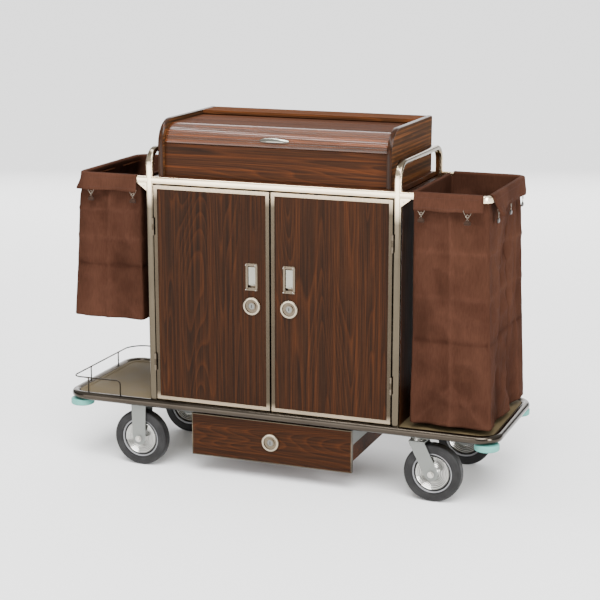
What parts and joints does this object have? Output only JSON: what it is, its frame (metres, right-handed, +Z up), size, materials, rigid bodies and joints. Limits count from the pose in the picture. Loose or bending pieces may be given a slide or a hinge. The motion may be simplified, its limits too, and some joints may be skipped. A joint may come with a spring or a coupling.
{
  "type": "housekeeping cart",
  "caption": "Hotel housekeeping cart: wood-faced two-door cabinet with roll-top box and drawer on a tube chassis with casters, cloth bags at both ends.",
  "frame": {"origin": "on the floor, at the middle of the cart's footprint", "axes": "+X along the cart's length towards the large bag and swivel casters, -Y towards the cabinet doors, +Z up"},
  "size_m": [1.592, 0.522, 1.24],
  "materials": {
    "chassis_metal": "satin bronze-grey plated tube",
    "deck_board": "matte taupe moulded board",
    "bright_wire": "satin plated rod",
    "frame_metal": "satin champagne nickel",
    "walnut_board": "dark walnut laminate, semi-gloss",
    "inner_board": "dark laminate, matte",
    "door_trim": "satin champagne",
    "bright_fitting": "bright nickel",
    "zinc_steel": "light grey zinc",
    "bumper_rubber": "matte green rubber",
    "wheel_disc": "pressed bright disc",
    "tyre_rubber": "black rubber",
    "bag_cloth": "brown woven nylon canvas"
  },
  "bodies": {
    "frame": {"chassis_rail": "chassis_metal", "deck": "deck_board", "cross_members": "chassis_metal", "guard_rail": "bright_wire", "left_hoop": "frame_metal", "right_hoop": "frame_metal", "top_rails": "frame_metal", "left_bag_rail": "frame_metal", "right_bag_rail": "frame_metal", "left_side_panel": "walnut_board", "right_side_panel": "walnut_board", "back_panel": "walnut_board", "top_panel": "walnut_board", "shelf": "inner_board", "door_hinges": "bright_fitting", "drawer_runners": "zinc_steel", "box_left_side": "walnut_board", "box_right_side": "walnut_board", "box_front": "walnut_board", "box_back": "walnut_board", "rigid_forks": "zinc_steel", "swivel_plates": "zinc_steel", "left_bag": "bag_cloth", "right_bag": "bag_cloth", "bag_hooks": "bright_fitting"},
    "left_door": {"left_door_frame": "door_trim", "left_door_panel": "walnut_board", "left_door_plates": "bright_fitting"},
    "right_door": {"right_door_frame": "door_trim", "right_door_panel": "walnut_board", "right_door_plates": "bright_fitting"},
    "left_paddle": {"left_latch_paddle": "bright_fitting"},
    "right_paddle": {"right_latch_paddle": "bright_fitting"},
    "left_plug": {"left_lock_plug": "bright_fitting"},
    "right_plug": {"right_lock_plug": "bright_fitting"},
    "drawer": {"drawer_front": "walnut_board", "drawer_trim": "door_trim", "drawer_box": "inner_board"},
    "drawer_plug": {"drawer_lock_plug": "bright_fitting"},
    "curtain": {"curtain_flat": "walnut_board"},
    "apron": {"curtain_apron": "walnut_board"},
    "slat_1_body": {"slat_1": "walnut_board", "curtain_pull": "bright_fitting"},
    "slat_2_body": {"slat_2": "walnut_board"},
    "slat_3_body": {"slat_3": "walnut_board"},
    "slat_4_body": {"slat_4": "walnut_board"},
    "front_caster": {"front_swivel_fork": "zinc_steel"},
    "rear_caster": {"rear_swivel_fork": "zinc_steel"},
    "front_left_wheel": {"front_left_rim": "wheel_disc", "front_left_tyre": "tyre_rubber"},
    "front_left_roller": {"front_left_bumper": "bumper_rubber"},
    "front_right_wheel": {"front_right_rim": "wheel_disc", "front_right_tyre": "tyre_rubber"},
    "front_right_roller": {"front_right_bumper": "bumper_rubber"},
    "rear_left_wheel": {"rear_left_rim": "wheel_disc", "rear_left_tyre": "tyre_rubber"},
    "rear_left_roller": {"rear_left_bumper": "bumper_rubber"},
    "rear_right_wheel": {"rear_right_rim": "wheel_disc", "rear_right_tyre": "tyre_rubber"},
    "rear_right_roller": {"rear_right_bumper": "bumper_rubber"}
  },
  "joints": [
    {"name": "left_door_hinge", "type": "hinge", "parent": "frame", "child": "left_door", "pos_m": [-0.4385, -0.2475, 0.64], "axis": [0, 0, -1], "range_deg": [0, 110]},
    {"name": "right_door_hinge", "type": "hinge", "parent": "frame", "child": "right_door", "pos_m": [0.4245, -0.2475, 0.64], "axis": [0, 0, 1], "range_deg": [0, 110]},
    {"name": "drawer_slide", "type": "slide", "parent": "frame", "child": "drawer", "axis": [0, -1, 0], "range_m": [0, 0.32]},
    {"name": "left_latch_pull", "type": "hinge", "parent": "left_door", "child": "left_paddle", "pos_m": [-0.075, -0.237, 0.757], "axis": [-1, 0, 0], "range_deg": [0, 30], "stiffness_Nm_per_rad": 0.05},
    {"name": "left_lock_turn", "type": "hinge", "parent": "left_door", "child": "left_plug", "pos_m": [-0.075, -0.24, 0.624], "axis": [0, 1, 0], "range_deg": [0, 90]},
    {"name": "right_latch_pull", "type": "hinge", "parent": "right_door", "child": "right_paddle", "pos_m": [0.061, -0.237, 0.757], "axis": [-1, 0, 0], "range_deg": [0, 30], "stiffness_Nm_per_rad": 0.05},
    {"name": "right_lock_turn", "type": "hinge", "parent": "right_door", "child": "right_plug", "pos_m": [0.061, -0.24, 0.624], "axis": [0, 1, 0], "range_deg": [0, 90]},
    {"name": "drawer_lock_turn", "type": "hinge", "parent": "drawer", "child": "drawer_plug", "pos_m": [-0.013, -0.231, 0.142], "axis": [0, 1, 0], "range_deg": [0, 90]},
    {"name": "curtain_slide", "type": "slide", "parent": "frame", "child": "curtain", "axis": [0, 1, 0], "range_m": [0, 0.195]},
    {"name": "slat_4_hinge", "type": "hinge", "parent": "curtain", "child": "slat_4_body", "pos_m": [-0.007, -0.138, 1.224], "axis": [-1, 0, 0], "range_deg": [0, 9.6]},
    {"name": "slat_3_hinge", "type": "hinge", "parent": "slat_4_body", "child": "slat_3_body", "pos_m": [-0.007, -0.16046, 1.22024], "axis": [-1, 0, 0], "range_deg": [0, 19.1]},
    {"name": "slat_2_hinge", "type": "hinge", "parent": "slat_3_body", "child": "slat_2_body", "pos_m": [-0.007, -0.18048, 1.20937], "axis": [-1, 0, 0], "range_deg": [0, 19.1]},
    {"name": "slat_1_hinge", "type": "hinge", "parent": "slat_2_body", "child": "slat_1_body", "pos_m": [-0.007, -0.19587, 1.19258], "axis": [-1, 0, 0], "range_deg": [0, 23.1]},
    {"name": "apron_hinge", "type": "hinge", "parent": "curtain", "child": "apron", "pos_m": [-0.007, 0.012, 1.217], "axis": [-1, 0, 0], "range_deg": [0, 90.1]},
    {"name": "front_left_wheel_spin", "type": "hinge", "parent": "frame", "child": "front_left_wheel", "pos_m": [-0.517, -0.205, 0.1], "axis": [0, 1, 0], "continuous": true},
    {"name": "rear_left_wheel_spin", "type": "hinge", "parent": "frame", "child": "rear_left_wheel", "pos_m": [-0.517, 0.205, 0.1], "axis": [0, 1, 0], "continuous": true},
    {"name": "front_right_wheel_spin", "type": "hinge", "parent": "front_caster", "child": "front_right_wheel", "pos_m": [0.566, -0.205, 0.1], "axis": [0, 1, 0], "continuous": true},
    {"name": "rear_right_wheel_spin", "type": "hinge", "parent": "rear_caster", "child": "rear_right_wheel", "pos_m": [0.566, 0.205, 0.1], "axis": [0, 1, 0], "continuous": true},
    {"name": "front_caster_swivel", "type": "hinge", "parent": "frame", "child": "front_caster", "pos_m": [0.513, -0.205, 0.21], "axis": [0, 0, 1], "continuous": true},
    {"name": "rear_caster_swivel", "type": "hinge", "parent": "frame", "child": "rear_caster", "pos_m": [0.513, 0.205, 0.21], "axis": [0, 0, 1], "continuous": true},
    {"name": "front_left_bumper_roll", "type": "hinge", "parent": "frame", "child": "front_left_roller", "pos_m": [-0.7495, -0.2145, 0.213], "axis": [0, 0, 1], "continuous": true},
    {"name": "front_right_bumper_roll", "type": "hinge", "parent": "frame", "child": "front_right_roller", "pos_m": [0.7495, -0.2145, 0.213], "axis": [0, 0, 1], "continuous": true},
    {"name": "rear_left_bumper_roll", "type": "hinge", "parent": "frame", "child": "rear_left_roller", "pos_m": [-0.7495, 0.2145, 0.213], "axis": [0, 0, 1], "continuous": true},
    {"name": "rear_right_bumper_roll", "type": "hinge", "parent": "frame", "child": "rear_right_roller", "pos_m": [0.7495, 0.2145, 0.213], "axis": [0, 0, 1], "continuous": true}
  ],
  "couplings": [
    {"joint": "slat_4_hinge", "follows": "curtain_slide", "rad_per_m": 0.85029},
    {"joint": "slat_3_hinge", "follows": "curtain_slide", "rad_per_m": 1.7006},
    {"joint": "slat_2_hinge", "follows": "curtain_slide", "rad_per_m": 1.7006},
    {"joint": "slat_1_hinge", "follows": "curtain_slide", "rad_per_m": 2.0586},
    {"joint": "apron_hinge", "follows": "curtain_slide", "rad_per_m": 8.0554}
  ]
}
